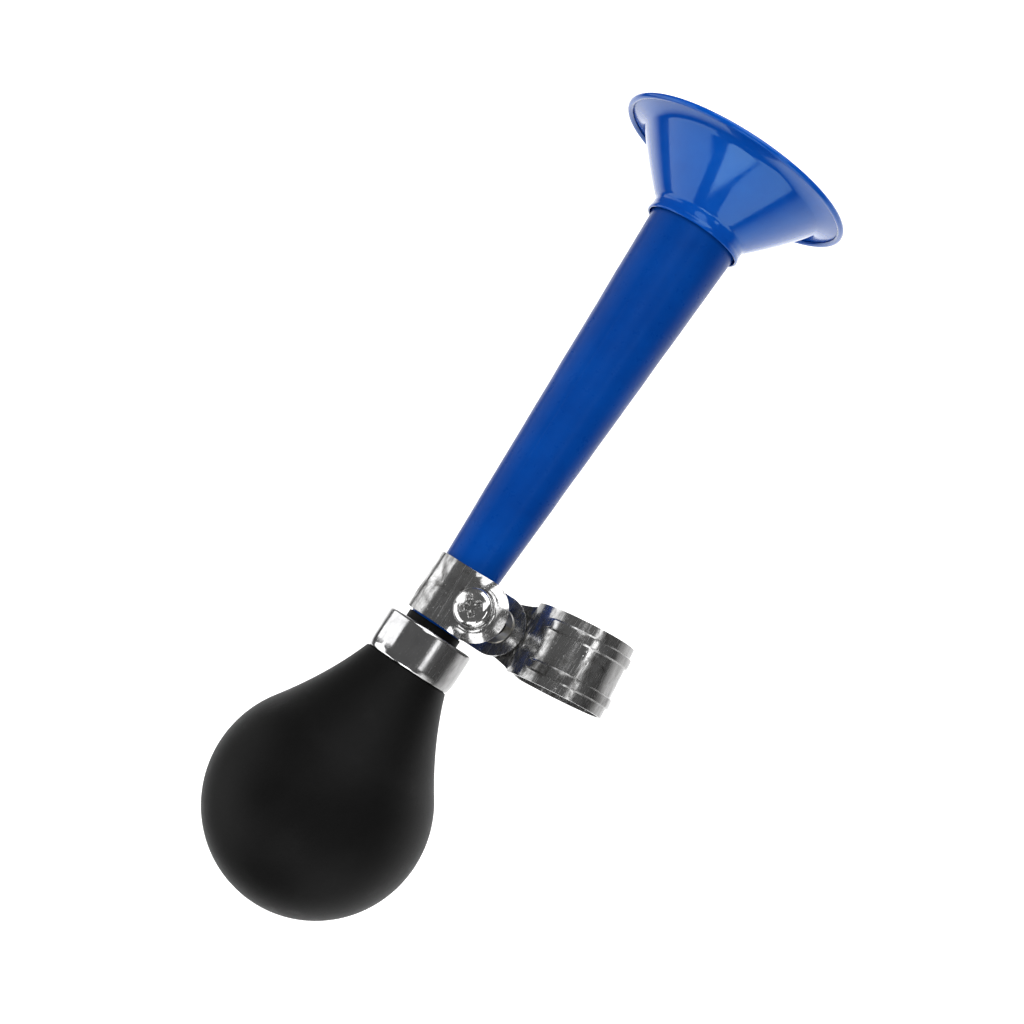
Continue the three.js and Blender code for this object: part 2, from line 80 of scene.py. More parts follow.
# Sizes that the pieces share, in millimetres.
SHEET_GAP = 0.3
BULB_WALL = 2.4
BULB_CENTRE = -50.8
COLLAR_LENGTH = 10.9
NECK_BORE = 6.2
TUBE_WALL = 0.8
BELL_WALL = 0.6
SLEEVE_LENGTH = 3.5
CONE_LENGTH = 15.0
CONE_RADIUS = 25.8
FLANGE_LENGTH = 2.4
RIM_ROLL_RADIUS = 0.55
STRAP_SHEET = 0.8
BAND_SHEET = 1.0
SHANK_RADIUS = 2.45
HOLE_RADIUS = 2.75
THREAD_PITCH = 0.8
THREAD_DEPTH = 0.35
TOOTH_COUNT = 24
TOOTH_HEIGHT = 0.5
SEAT_RADIUS = 7.1
SEAT_RIM = 0.7
TOOTHED_WASHER_RADIUS = 4.8

# How many steps go round the tube and bell, and how finely a bent sheet's path is cut, in millimetres.
HORN_SEGMENTS = 224
SHEET_STEP = 0.1


def size(node):
    """A node's extent along x, y and z in millimetres."""
    low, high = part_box(node)
    return [(h - l) / MM for l, h in zip(low, high)]


def middle(node):
    """The middle of a node's box in millimetres."""
    low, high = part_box(node)
    return [(h + l) / 2 / MM for l, h in zip(low, high)]


# Where the horn's axis, station 0, the screw's axis and the handlebar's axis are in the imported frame.
STATION_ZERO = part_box("bulb_collar")[1].x / MM
AXIS_Y, AXIS_Z = middle("trumpet_tube")[1:]
SCREW_X, SCREW_Y = middle("clamp_screw")[:2]
GRIP = frame["record"]["mounts"][0]
BAND_TURN = math.atan2(GRIP["axis"][1], GRIP["axis"][0])


def stations(node):
    """A node's first and last station, in millimetres."""
    return [corner.x / MM - STATION_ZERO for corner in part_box(node)]


def heights(node):
    """A node's lowest and highest point over the horn's axis, in millimetres."""
    return [corner.z / MM - AXIS_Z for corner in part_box(node)]


def place_horn(points):
    """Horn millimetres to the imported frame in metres: a plain shift."""
    return (points + [STATION_ZERO, AXIS_Y, AXIS_Z]) * MM


def place_strap(points):
    """Strap millimetres, with heights measured from the horn's axis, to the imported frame: a plain shift."""
    return (points + [SCREW_X, SCREW_Y, AXIS_Z]) * MM


def turn_about_z(angle):
    """The matrix that turns rows of points about z by an angle in radians."""
    c, s = math.cos(angle), math.sin(angle)
    return np.array([[c, s, 0], [-s, c, 0], [0, 0, 1]])


def place_bracket(points):
    """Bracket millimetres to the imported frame: a turn about the screw by the band's angle, then a shift."""
    return place_strap(points @ turn_about_z(BAND_TURN))


# ---- Curves ----


def smooth(x, low, high):
    """0 below low, 1 above high and 3t^2 - 2t^3 between, where t runs from 0 to 1."""
    t = np.clip((x - low) / (high - low), 0, 1)
    return t * t * (3 - 2 * t)


def bezier(points, count, first=0.0):
    """A quadratic or cubic Bezier curve: each control point weighted by its Bernstein polynomial in t."""
    p = np.array(points, float)
    t = np.linspace(first, 1, count)[:, None]
    n = len(p) - 1
    weights = [math.comb(n, k) * (1 - t) ** (n - k) * t**k for k in range(n + 1)]
    return sum(w * q for w, q in zip(weights, p))


def arc(centre, radius, first, last, count):
    """A circular arc: centre + radius (cos a, sin a), with a in degrees from first to last."""
    a = np.radians(np.linspace(first, last, count))
    return np.array(centre) + radius * np.stack([np.cos(a), np.sin(a)], 1)


def rounded(corners, setback, count=5):
    """A closed outline with softened corners: each is a quadratic curve between the two points that lie the
    setback before and after it."""
    c = np.array(corners, float)
    r = np.broadcast_to(np.array(setback, float), (len(c),))[:, None]
    before, after = np.roll(c, 1, 0) - c, np.roll(c, -1, 0) - c
    a = c + r * before / np.linalg.norm(before, axis=1, keepdims=True)
    b = c + r * after / np.linalg.norm(after, axis=1, keepdims=True)
    t = np.linspace(0, 1, count)[None, :, None]
    curve = (1 - t) ** 2 * a[:, None] + 2 * t * (1 - t) * c[:, None] + t * t * b[:, None]
    return curve.reshape(-1, 2)


def evenly(line, step):
    """A polyline cut again into equal steps of about the given length, measured along it."""
    keep = np.r_[True, np.linalg.norm(np.diff(line, axis=0), axis=1) > 1e-6]
    line = line[keep]
    length = np.r_[0, np.cumsum(np.linalg.norm(np.diff(line, axis=0), axis=1))]
    at = np.linspace(0, length[-1], max(int(length[-1] / step), 2) + 1)
    return np.stack([np.interp(at, length, line[:, k]) for k in range(2)], 1)


def softened(line, step, blur):
    """A polyline whose bends are eased: cut into equal steps, then averaged with a Gaussian weight of width
    blur, with each end carried straight on so that it stays in place."""
    even = evenly(line, step)
    reach = int(3 * blur / step)
    head = even[0] - np.arange(reach, 0, -1)[:, None] * (even[1] - even[0])
    tail = even[-1] + np.arange(1, reach + 1)[:, None] * (even[-1] - even[-2])
    longer = np.vstack([head, even, tail])
    weight = np.exp(-0.5 * (np.arange(-reach, reach + 1) * step / blur) ** 2)
    weight /= weight.sum()
    return np.stack([np.convolve(longer[:, k], weight, "valid") for k in range(2)], 1)


def wall(line, thickness, cap=6):
    """The closed outline of a bent sheet: the middle line moved half the thickness to each side along its
    normal, joined by a half circle at each end."""
    along = np.gradient(line, axis=0)
    along /= np.linalg.norm(along, axis=1, keepdims=True)
    across = np.stack([-along[:, 1], along[:, 0]], 1)
    half = thickness / 2
    turn = np.radians(np.linspace(90, -90, cap))[1:-1, None]
    end = line[-1] + half * (np.cos(turn) * along[-1] + np.sin(turn) * across[-1])
    start = line[0] - half * (np.cos(turn) * along[0] + np.sin(turn) * across[0])
    return np.vstack([line + half * across, end, line[::-1] - half * across[::-1], start])


# ---- Meshes ----


def grid_faces(rows, columns, loop_rows, loop_columns):
    """The quads of a grid of points, which may close on itself either way."""
    at = np.arange(rows * columns).reshape(rows, columns)
    below, right = np.roll(at, -1, 0), np.roll(at, -1, 1)
    corner = np.roll(below, -1, 1)
    quads = np.stack([at, right, corner, below], -1)
    quads = quads if loop_rows else quads[:-1]
    quads = quads if loop_columns else quads[:, :-1]
    return quads.reshape(-1, 4)


def make_piece(name, points, faces, finish, body, stands_for=(), crease=35):
    """Puts points in metres and quads into a mesh and joins points that coincide. The faces are made to
    agree and to point out of a closed shell, the mesh is shaded smooth except where it bends by more
    than crease degrees, and the piece rides on a body."""
    flat = points.reshape(-1, 3)
    mesh = bpy.data.meshes.new(name)
    mesh.vertices.add(len(flat))
    mesh.vertices.foreach_set("co", flat.astype(np.float32).ravel())
    mesh.loops.add(faces.size)
    mesh.loops.foreach_set("vertex_index", faces.astype(np.int32).ravel())
    mesh.polygons.add(len(faces))
    mesh.polygons.foreach_set("loop_start", np.arange(0, faces.size, faces.shape[1], dtype=np.int32))
    mesh.update(calc_edges=True)
    shell = bmesh.new()
    shell.from_mesh(mesh)
    bmesh.ops.remove_doubles(shell, verts=shell.verts, dist=1e-7)
    bmesh.ops.dissolve_degenerate(shell, edges=shell.edges, dist=1e-8)
    bmesh.ops.recalc_face_normals(shell, faces=shell.faces)
    shell.to_mesh(mesh)
    shell.free()
    mesh.validate()
    mesh.polygons.foreach_set("use_smooth", np.ones(len(mesh.polygons), bool))
    mesh.set_sharp_from_angle(angle=math.radians(crease))
    mesh.materials.append(finish)
    piece = bpy.data.objects.new(name, mesh)
    bpy.context.scene.collection.objects.link(piece)
    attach(piece, body)
    if stands_for:
        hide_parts(*stands_for)
    return piece


def turned(outline, segments, lift=None, angles=None):
    """An outline of (station, radius) carried round the horn's axis: y = r sin a, z = r cos a. Lift adds a
    height to r that may depend on the station and on a."""
    a = np.linspace(0, TAU, segments, endpoint=False) if angles is None else angles
    s, r = np.broadcast_arrays(outline[:, :1], outline[:, 1:] + 0 * a)
    if lift is not None:
        r = r + lift(s, a[None, :])
    return np.stack([s + 0 * a, r * np.sin(a), r * np.cos(a)], -1)


def spun(outline, segments, lift=None, angles=None):
    """An outline of (radius, height) carried round the screw's axis: x = r cos a, y = r sin a."""
    a = np.linspace(0, TAU, segments, endpoint=False) if angles is None else angles
    r, z = np.broadcast_arrays(outline[:, :1] + 0 * a, outline[:, 1:] + 0 * a)
    if lift is not None:
        r, z = lift(r, z, a[None, :])
    return np.stack([r * np.cos(a), r * np.sin(a), z], -1)


def sheet_plan(length, reach, half_width, end_radius, hole_radius, rows, share):
    """A flat strip with a round end and a hole at each end, as points (across, along) and quads.

    The holes are at along = 0 and along = length. Round each hole, rings run from the hole to the
    strip's outline, reach millimetres into the strip, and straight rows join the two. A ring point is
    (1 - t) hole + t outline along one ray, so every quad is part of one regular pattern. Share says
    where the strip's lines lie across it, from -1 to 1.
    """
    half = math.pi / 2
    corner = math.atan2(half_width(np.array([reach]))[0], reach)
    front = np.arctan(share * math.tan(corner))
    side = np.linspace(corner, half, 14)[1:]
    back = np.linspace(half, 3 * half, 64)[1:]
    other = np.linspace(-half, -corner, 14)[1:-1]
    ray = np.concatenate([front, side, back, other])
    out = np.full(ray.shape, float(end_radius))
    in_front, facing = np.abs(ray) <= corner + 1e-9, np.abs(ray) < half - 1e-9
    flank = facing & ~in_front
    out[in_front] = reach / np.cos(ray[in_front])
    for _ in range(12):
        out[flank] = half_width(out[flank] * np.cos(ray[flank])) / np.abs(np.sin(ray[flank]))
    t = np.r_[0, 0.07, np.linspace(0.2, 0.9, 14), 0.95, 1][:, None]
    radius = (1 - t) * hole_radius + t * out
    first = np.stack([radius * np.sin(ray), radius * np.cos(ray)], -1)
    last = np.stack([first[..., 0], length - first[..., 1]], -1)
    patch = grid_faces(len(t), len(ray), False, True)
    along = np.linspace(reach, length - reach, rows)[:, None]
    strip = np.stack([share * half_width(np.minimum(along, length - along)), along + 0 * share], -1)
    strip_faces = grid_faces(rows, len(share), False, False)
    points = np.vstack([first.reshape(-1, 2), strip.reshape(-1, 2), last.reshape(-1, 2)])
    n = first.shape[0] * first.shape[1]
    faces = np.vstack([patch, strip_faces[:, ::-1] + n, patch[:, ::-1] + n + strip[..., 0].size])
    return points, faces


def bent(plan, line, step, start, rise):
    """Carries a flat strip's points along a path: the along coordinate runs down the path from the
    point start millimetres in, the across coordinate is x, and rise(across, along) moves the sheet
    along its normal."""
    length = np.arange(len(line)) * step
    slope = np.gradient(line, axis=0)
    slope /= np.linalg.norm(slope, axis=1, keepdims=True)
    across, along = plan[:, 0], plan[:, 1]
    y, z, dy, dz = (np.interp(along + start, length, v) for v in (*line.T, *slope.T))
    lift = rise(across, along)
    return np.stack([across, y - lift * dz, z + lift * dy], -1)


def finish_sheet(piece, thickness, edge):
    """Gives a bent sheet its thickness, half to each side, and softens its edges."""
    solid = piece.modifiers.new("thickness", "SOLIDIFY")
    solid.thickness = thickness * MM
    solid.offset = 0
    solid.use_even_offset = True
    bevel = piece.modifiers.new("edge", "BEVEL")
    bevel.width = edge * MM
    bevel.segments = 3
    bevel.limit_method = "ANGLE"
    bevel.angle_limit = math.radians(50)
    bevel.harden_normals = True


# ---- Materials ----


class Wire:
    """An output socket whose arithmetic adds Math nodes to its tree."""

    def __init__(self, tree, socket):
        self.tree, self.socket = tree, socket

    def math(self, operation, *values):
        node = self.tree.nodes.new("ShaderNodeMath")
        node.operation = operation
        for slot, value in zip(node.inputs, values):
            if isinstance(value, Wire):
                self.tree.links.new(value.socket, slot)
            else:
                slot.default_value = value
        return Wire(self.tree, node.outputs[0])

    def __add__(self, other):
        return self.math("ADD", self, other)

    def __radd__(self, other):
        return self.math("ADD", other, self)

    def __sub__(self, other):
        return self.math("SUBTRACT", self, other)

    def __rsub__(self, other):
        return self.math("SUBTRACT", other, self)

    def __mul__(self, other):
        return self.math("MULTIPLY", self, other)

    def __rmul__(self, other):
        return self.math("MULTIPLY", other, self)

    def __truediv__(self, other):
        return self.math("DIVIDE", self, other)

    def above(self, low, high):
        """0 below low, 1 above high and a straight ramp between, held to that range."""
        ramp = (self - low) / (high - low)
        return ramp.math("MINIMUM", ramp.math("MAXIMUM", ramp, 0.0), 1.0)


class Finish:
    """A Principled material put together node by node."""

    def __init__(self, name, **constants):
        self.material = bpy.data.materials.new(name)
        self.material.use_nodes = True
        self.tree = self.material.node_tree
        self.shader = self.tree.nodes["Principled BSDF"]
        for socket, value in constants.items():
            self.shader.inputs[socket.replace("_", " ")].default_value = value

    def node(self, kind, settings=None, inputs=None, output=0):
        """Adds a node: its settings first, then a value or link for each named or numbered socket."""
        node = self.tree.nodes.new("ShaderNode" + kind)
        for key, value in (settings or {}).items():
            if key == "stops":
                ramp = node.color_ramp
                for k, (position, tone) in enumerate(value):
                    stop = ramp.elements[k] if k < 2 else ramp.elements.new(position)
                    stop.position, stop.color = position, (*tone, 1)
            else:
                setattr(node, key, value)
        for key, value in (inputs or {}).items():
            if isinstance(value, Wire):
                self.tree.links.new(value.socket, node.inputs[key])
            else:
                node.inputs[key].default_value = value
        return Wire(self.tree, node.outputs[output])

    def where(self, centre=(0, 0, 0), stretch=(1, 1, 1), turn=(0, 0, 0)):
        """Object coordinates in metres, moved so that centre is 0, then turned and stretched."""
        raw = self.node("TexCoord", output="Object")
        shifted = self.node("VectorMath", {"operation": "SUBTRACT"}, {0: raw, 1: centre})
        links = {"Vector": shifted, "Scale": stretch, "Rotation": turn}
        return self.node("Mapping", {"vector_type": "POINT"}, links)

    def noise(self, at, scale, detail=3.0, roughness=0.5, distortion=0.0):
        """Cloudy noise from 0 to 1, with features about 1/scale metres across."""
        inputs = {"Vector": at, "Scale": scale, "Detail": detail, "Roughness": roughness}
        return self.node("TexNoise", inputs={**inputs, "Distortion": distortion})

    def cells(self, at, scale):
        """The distance to the nearest of many scattered points, which lie about 1/scale metres apart."""
        return self.node("TexVoronoi", {"feature": "F1"}, {"Vector": at, "Scale": scale, "Randomness": 1.0})

    def distance(self, x, y):
        """How far a point lies from the upright line through x and y, in metres."""
        across = self.where((x, y, 0), (1, 1, 0))
        return self.node("VectorMath", {"operation": "LENGTH"}, {0: across}, output="Value")

    def blend(self, share, first, second):
        """A colour between two, by share."""
        return self.node("Mix", {"data_type": "RGBA"}, {0: share, 6: first, 7: second}, output=2)

    def feed(self, **links):
        """Links what varies to the shader's sockets."""
        for socket, wire in links.items():
            self.tree.links.new(wire.socket, self.shader.inputs[socket.replace("_", " ")])

    def bump(self, height, distance):
        """A bump of the given height in metres."""
        self.feed(Normal=self.node("Bump", {}, {"Height": height, "Distance": distance, "Strength": 1.0}))


def tone(red, green, blue):
    """A display colour from 0 to 255 as linear light."""
    c = np.array([red, green, blue]) / 255
    linear = np.where(c < 0.04045, c / 12.92, ((c + 0.055) / 1.055) ** 2.4)
    return (*linear.tolist(), 1.0)


def enamel(name, deep, pale, orange_peel, shine, polish):
    """Blue gloss paint: cloudy depth of colour from deep to pale, faint orange peel and a few specks of
    dust. Shine is the strength of its mirror, and polish is the roughness of its clean parts."""
    f = Finish(name, Specular_IOR_Level=shine, Specular_Tint=BLUE_SHEEN)
    at = f.where()
    cloud = f.noise(at, 55, 4, 0.6)
    fine = f.noise(at, 420, 3, 0.55)
    speck = 1 - f.cells(at, 260.0).above(0.035, 0.075)
    shade = f.blend(cloud.above(0.35, 0.68), deep, pale)
    f.feed(Base_Color=f.blend(speck * 0.35, shade, DUSTY_BLUE))
    f.feed(Roughness=polish + 0.1 * fine.above(0.3, 0.75) + 0.1 * speck)
    skin = f.noise(at, 700, 2, 0.4)
    f.bump(skin * orange_peel + fine * 0.6 * orange_peel + speck * 0.4, 0.00002)
    return f.material


def plating(name, bright, dull, wear, grain, painted_shade_zones=()):
    """Bright plating over pressed steel: cloudy tarnish, hair scratches along x and small pits. Each
    zone of painted shade is (low, high, strength): the painted shade grows to that strength as y goes
    from low to high, in metres, and is mixed into the tarnish."""
    f = Finish(name)
    at = f.where()
    cloud = f.noise(at, 150, 5, 0.66, 0.8)
    smear = f.noise(f.where(stretch=(0.35, 1, 1), turn=(0.3, 0.2, 0.5)), 420, 4, 0.6)
    hair = f.noise(f.where(stretch=(0.04, 1, 1), turn=(0, 0.1, 0.15)), 3000, 2, 0.5)
    pit = 1 - f.cells(at, 700.0).above(0.08, 0.2)
    tarnish = (cloud * 0.65 + smear * 0.35).above(0.38, 0.62) * wear
    along = f.node("SeparateXYZ", {}, {0: at}, output="Y")
    # Painted shade: each zone darkens one side of the plating, and from here on the tarnish mask also carries this
    # painted shade.
    for low, high, strength in painted_shade_zones:
        patch = along.above(low, high) * strength * (0.6 + 0.6 * smear)
        tarnish = tarnish.math("MAXIMUM", tarnish, patch.math("MINIMUM", patch, 1.0))
    f.feed(Base_Color=f.blend(tarnish, bright, dull), Metallic=1 - 0.12 * tarnish)
    f.feed(Roughness=grain + 0.28 * tarnish * smear + 0.2 * hair.above(0.52, 0.72) * wear + 0.15 * pit * wear)
    f.bump(cloud * 0.5 + smear * 0.25 * wear + hair * 0.06 - pit * 0.3 * wear, 0.00005)
    return f.material


def moulded_rubber(name):
    """Matt black rubber: fine moulded grain, a faint bloom and small rubbed patches that shine a little
    more."""
    f = Finish(name, Specular_IOR_Level=0.09)
    at = f.where()
    bloom = f.noise(at, 45, 4, 0.6, 0.4)
    grain = f.noise(at, 2600, 2, 0.5)
    rub = f.noise(at, 170, 4, 0.65)
    f.feed(Base_Color=f.blend(bloom.above(0.3, 0.75), tone(8, 8, 8), tone(14, 14, 14)))
    f.feed(Roughness=0.44 + 0.1 * bloom + 0.08 * grain - 0.06 * rub.above(0.55, 0.7))
    f.bump(grain * 0.5 + rub * 0.35, 0.00004)
    return f.material


def seat_steel(name):
    """The serrated seat: teeth in a dark mottled painted shade, inside a rim painted bright as a highlight."""
    f = Finish(name)
    at = f.where()
    # Painted highlight and painted shade: the rim is made bright metal, and the teeth dark and only partly
    # metallic.
    rim = f.distance(SCREW_X * MM, SCREW_Y * MM).above(0.0063, 0.00645)
    cloud = f.noise(at, 400, 4, 0.65)
    painted_teeth_shade = f.blend(cloud.above(0.35, 0.65), tone(16, 16, 16), tone(62, 61, 59))
    f.feed(Base_Color=f.blend(rim, painted_teeth_shade, tone(235, 235, 234)), Metallic=0.35 + 0.65 * rim)
    f.feed(Roughness=0.3 + 0.15 * cloud - 0.16 * rim)
    f.bump(cloud, 0.00004)
    return f.material


def zinc_steel(name):
    """Zinc-plated steel: a faint yellow and blue bloom, fine turning marks and dull spots."""
    f = Finish(name, Metallic=1.0)
    at = f.where()
    cloud = f.noise(at, 260, 4, 0.6, 0.8)
    spot = f.noise(at, 900, 3, 0.6)
    shade = f.blend(cloud.above(0.35, 0.65), tone(176, 178, 184), tone(186, 180, 160))
    f.feed(Base_Color=f.blend(spot.above(0.6, 0.75) * 0.6, shade, tone(120, 120, 122)))
    f.feed(Roughness=0.22 + 0.2 * cloud + 0.15 * spot.above(0.5, 0.8))
    f.bump(spot * 0.6 + cloud * 0.4, 0.00003)
    return f.material


def spring_brass(name):
    """Rolled brass: brown tarnish in clouds over a yellow metal, with rolling marks along x."""
    f = Finish(name, Metallic=1.0)
    at = f.where()
    cloud = f.noise(at, 220, 5, 0.6, 0.5)
    rolled = f.noise(f.where(stretch=(0.05, 1, 1)), 2500, 2, 0.5)
    f.feed(Base_Color=f.blend(cloud.above(0.4, 0.7), tone(206, 165, 84), tone(128, 88, 42)))
    f.feed(Roughness=0.2 + 0.2 * cloud + 0.15 * rolled)
    f.bump(rolled * 0.5 + cloud * 0.5, 0.00002)
    return f.material


BLUE_SHEEN = (0.42, 0.8, 1.0, 1.0)
DUSTY_BLUE = tone(0, 38, 105)
BRIGHT_STEEL = tone(222, 222, 222)
TARNISH_AND_SHADE_STEEL = tone(58, 56, 54)

# Where painted shade darkens the plating: the collar's bracket side, and the band's far side and its root beside
# the seat.
CAP_PAINTED_SHADE = [(0.0265, 0.0215, 0.9)]
BAND_PAINTED_SHADE = [(-0.006, -0.012, 0.85), (0.006, 0.011, 0.9)]

BLUE = enamel("blue_gloss_enamel", tone(2, 62, 150), tone(4, 72, 162), 0.35, 0.55, 0.06)
BLUE_TUBE = enamel("blue_enamel_on_tube", tone(2, 49, 121), tone(3, 57, 133), 0.8, 0.1, 0.26)
CAP_PLATE = plating("bright_cap_plating", tone(222, 222, 223), tone(100, 99, 98), 0.4, 0.09, CAP_PAINTED_SHADE)
STRAP_PLATE = plating("worn_bracket_plating", BRIGHT_STEEL, TARNISH_AND_SHADE_STEEL, 0.9, 0.1)
BAND_PLATE = plating("worn_band_plating_with_painted_shade", BRIGHT_STEEL, TARNISH_AND_SHADE_STEEL, 0.9, 0.1, BAND_PAINTED_SHADE)
SCREW_PLATE = plating("screw_plating", tone(232, 232, 232), tone(120, 118, 115), 0.5, 0.1)
SEAT_STEEL = seat_steel("serrated_seat_steel")
RUBBER = moulded_rubber("black_rubber")
ZINC = zinc_steel("zinc_plated_steel")
BRASS = spring_brass("tarnished_brass")

# ---- Trumpet ----

TUBE_START, TUBE_END = stations("trumpet_tube")
TUBE_END_RADIUS = size("trumpet_tube")[1] / 2
TUBE_TAPER = 0.0435
SEAM_ANGLE = math.radians(-2.5)


def tube_radius(station):
    """The trumpet tube's outer radius, which grows evenly with the station."""
    return TUBE_END_RADIUS - TUBE_TAPER * (TUBE_END - station)


def make_tube():
    """A thin tapered tube with rounded ends, turned from its wall's outline. A narrow ridge, a Gaussian
    in the angle, runs along it where the sheet was joined, and long shallow waves keep it from being
    perfectly true."""
    cuts = np.linspace(TUBE_START, TUBE_END, 72)
    line = np.stack([cuts, tube_radius(cuts) - TUBE_WALL / 2], 1)
    outline = wall(line, TUBE_WALL)
    even = np.linspace(0, TAU, HORN_SEGMENTS, endpoint=False)
    closer_at_seam = 0.86
    angles = even - closer_at_seam * np.sin(even) + SEAM_ANGLE
    seam_height, seam_width, wave_height = 0.07, 0.028, 0.016

    def lift(s, a):
        off = np.remainder(a - SEAM_ANGLE + math.pi, TAU) - math.pi
        seam = seam_height * np.exp(-((off / seam_width) ** 2)) * smooth(s, 20, 60) * smooth(-s, -114, -90)
        waves = np.sin(0.31 * s + 2 * a) + np.sin(0.47 * s - 3 * a + 1) + np.sin(0.19 * s + 4 * a + 2)
        return seam + wave_height * waves * smooth(s, 14, 40) * smooth(-s, -116, -100)

    points = turned(outline, HORN_SEGMENTS, lift, angles)
    faces = grid_faces(len(outline), len(angles), True, True)
    return make_piece("trumpet", place_horn(points), faces, BLUE_TUBE, "horn", ["trumpet_tube"])


def bell_line():
    """The bell's middle line from the sleeve on the tube, through the cone and flange, into the rolled
    rim."""
    start = stations("bell_flare")[0]
    outer = size("bell_flare")[1] / 2
    sleeve = TUBE_END_RADIUS + SHEET_GAP + BELL_WALL / 2
    cone = start + SLEEVE_LENGTH
    cone_end = cone + CONE_LENGTH
    flange_end = cone_end + FLANGE_LENGTH
    roll = outer - BELL_WALL / 2 - RIM_ROLL_RADIUS
    lip = bezier([(start + 0.35, sleeve + 0.25), (start + 1.0, sleeve + 0.25), (start + 1.6, sleeve)], 8)
    foot = bezier([(cone - 0.4, sleeve), (cone + 0.5, sleeve), (cone + 1.2, sleeve + 0.9)], 10)
    belly = (cone + CONE_LENGTH / 2, (sleeve + CONE_RADIUS) / 2 + 0.6)
    side = bezier([foot[-1], belly, (cone_end, CONE_RADIUS)], 40)
    flange = bezier([side[-1], (cone_end + 1.6, CONE_RADIUS + 1.6), (flange_end, roll)], 24)
    rim = arc((flange_end - RIM_ROLL_RADIUS, roll), RIM_ROLL_RADIUS, 0, 250, 28)
    return np.vstack([lip, foot, side[1:], flange[1:], rim[1:]])


def make_bell():
    """The bell, turned from the closed outline of its sheet."""
    outline = wall(softened(bell_line(), 0.2, 0.22), BELL_WALL)
    points = turned(outline, HORN_SEGMENTS)
    faces = grid_faces(len(outline), HORN_SEGMENTS, True, True)
    return make_piece("bell", place_horn(points), faces, BLUE, "horn", ["bell_flare"])


# ---- Bulb and collar ----

COLLAR_RADIUS = size("bulb_collar")[1] / 2
COLLAR_SHEET = 0.8
BULB_RADIUS = size("bulb")[1] / 2
NECK = -COLLAR_LENGTH - SHEET_GAP
BULB_LEAN = math.radians(34.8)


def bulb_side(radius, neck_radius):
    """Half the bulb's outline from its far end: a circle that runs on in a hollow curve to the neck."""
    ball = arc((BULB_CENTRE, 0), radius, 180, 90 - math.degrees(BULB_LEAN), 72)
    leave = ball[-1]
    shoulder = (leave[0] + 10, leave[1] - 10 * math.tan(BULB_LEAN))
    curve = bezier([leave, shoulder, (NECK - 5, neck_radius + 1.8), (NECK, neck_radius)], 40)
    return np.vstack([ball, curve[1:]])


def make_bulb():
    """The hollow bulb: the outer and inner side, joined by a short neck inside the collar."""
    segments = 192
    outer = bulb_side(BULB_RADIUS, COLLAR_RADIUS - 0.5)
    inner = bulb_side(BULB_RADIUS - BULB_WALL, NECK_BORE)
    plug = [(NECK + 0.1, COLLAR_RADIUS - 1.1), (NECK + 5.8, COLLAR_RADIUS - 1.2), (NECK + 6, NECK_BORE + 0.3)]
    outline = np.vstack([outer, plug, inner[::-1]])
    points = turned(outline, segments)
    faces = grid_faces(len(outline), segments, False, True)
    piece = make_piece("squeeze_bulb", place_horn(points), faces, RUBBER, "bulb", ["bulb"])
    squeeze = next(j for j in frame["joints"] if j["name"] == "bulb_squeeze")
    far_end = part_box("bulb")[0].x
    length = (STATION_ZERO + NECK) * MM - far_end
    keep = 1 - squeeze["range_m"][1] / length
    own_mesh(piece)
    return piece


def make_bulb_lip():
    """The rubber lip between the collar and the neck tube, which stays where it is when the bulb is
    squeezed."""
    lip, flange, behind_front = NECK_BORE + 1.3, COLLAR_RADIUS - 1.3, -1.1
    back, end = -COLLAR_LENGTH + 6.3, stations("bulb")[1]
    outer = [(back, flange), (behind_front, flange), (behind_front, lip), (end, lip)]
    outline = rounded([*outer, (end, NECK_BORE), (back, NECK_BORE)], 0.25)
    segments = 96
    points = turned(outline, segments)
    faces = grid_faces(len(outline), segments, True, True)
    return make_piece("bulb_lip", place_horn(points), faces, RUBBER, "horn")


def make_collar():
    """The pressed cap over the bulb's neck: a straight side that draws in towards the bulb and a flat
    front."""
    half = COLLAR_SHEET / 2
    back, r = -COLLAR_LENGTH, COLLAR_RADIUS
    drawn_in = [(back + half, r - 0.75), (back + 1.4, r - 0.5), (back + 3.0, r - half)]
    front = [(-half, r - half), (-half, NECK_BORE + 2.0)]
    outline = wall(softened(np.array(drawn_in + front), 0.16, 0.28), COLLAR_SHEET)
    segments = 160
    points = turned(outline, segments)
    faces = grid_faces(len(outline), segments, True, True)
    return make_piece("bulb_cap", place_horn(points), faces, CAP_PLATE, "horn", ["bulb_collar"])


# ---- Strap round the horn ----

STRAP_HALF = size("horn_strap")[0] / 2
STRAP_TOP = heights("horn_strap")[1] - STRAP_SHEET / 2
REAR_EAR = heights("horn_strap")[0] + STRAP_SHEET / 2
EAR_TO_AXIS = AXIS_Y - SCREW_Y
STRAP_WRAP = 205
DISH_START = 5.5
DISH_SLOPE = 0.75
DISH_BEND = 0.35


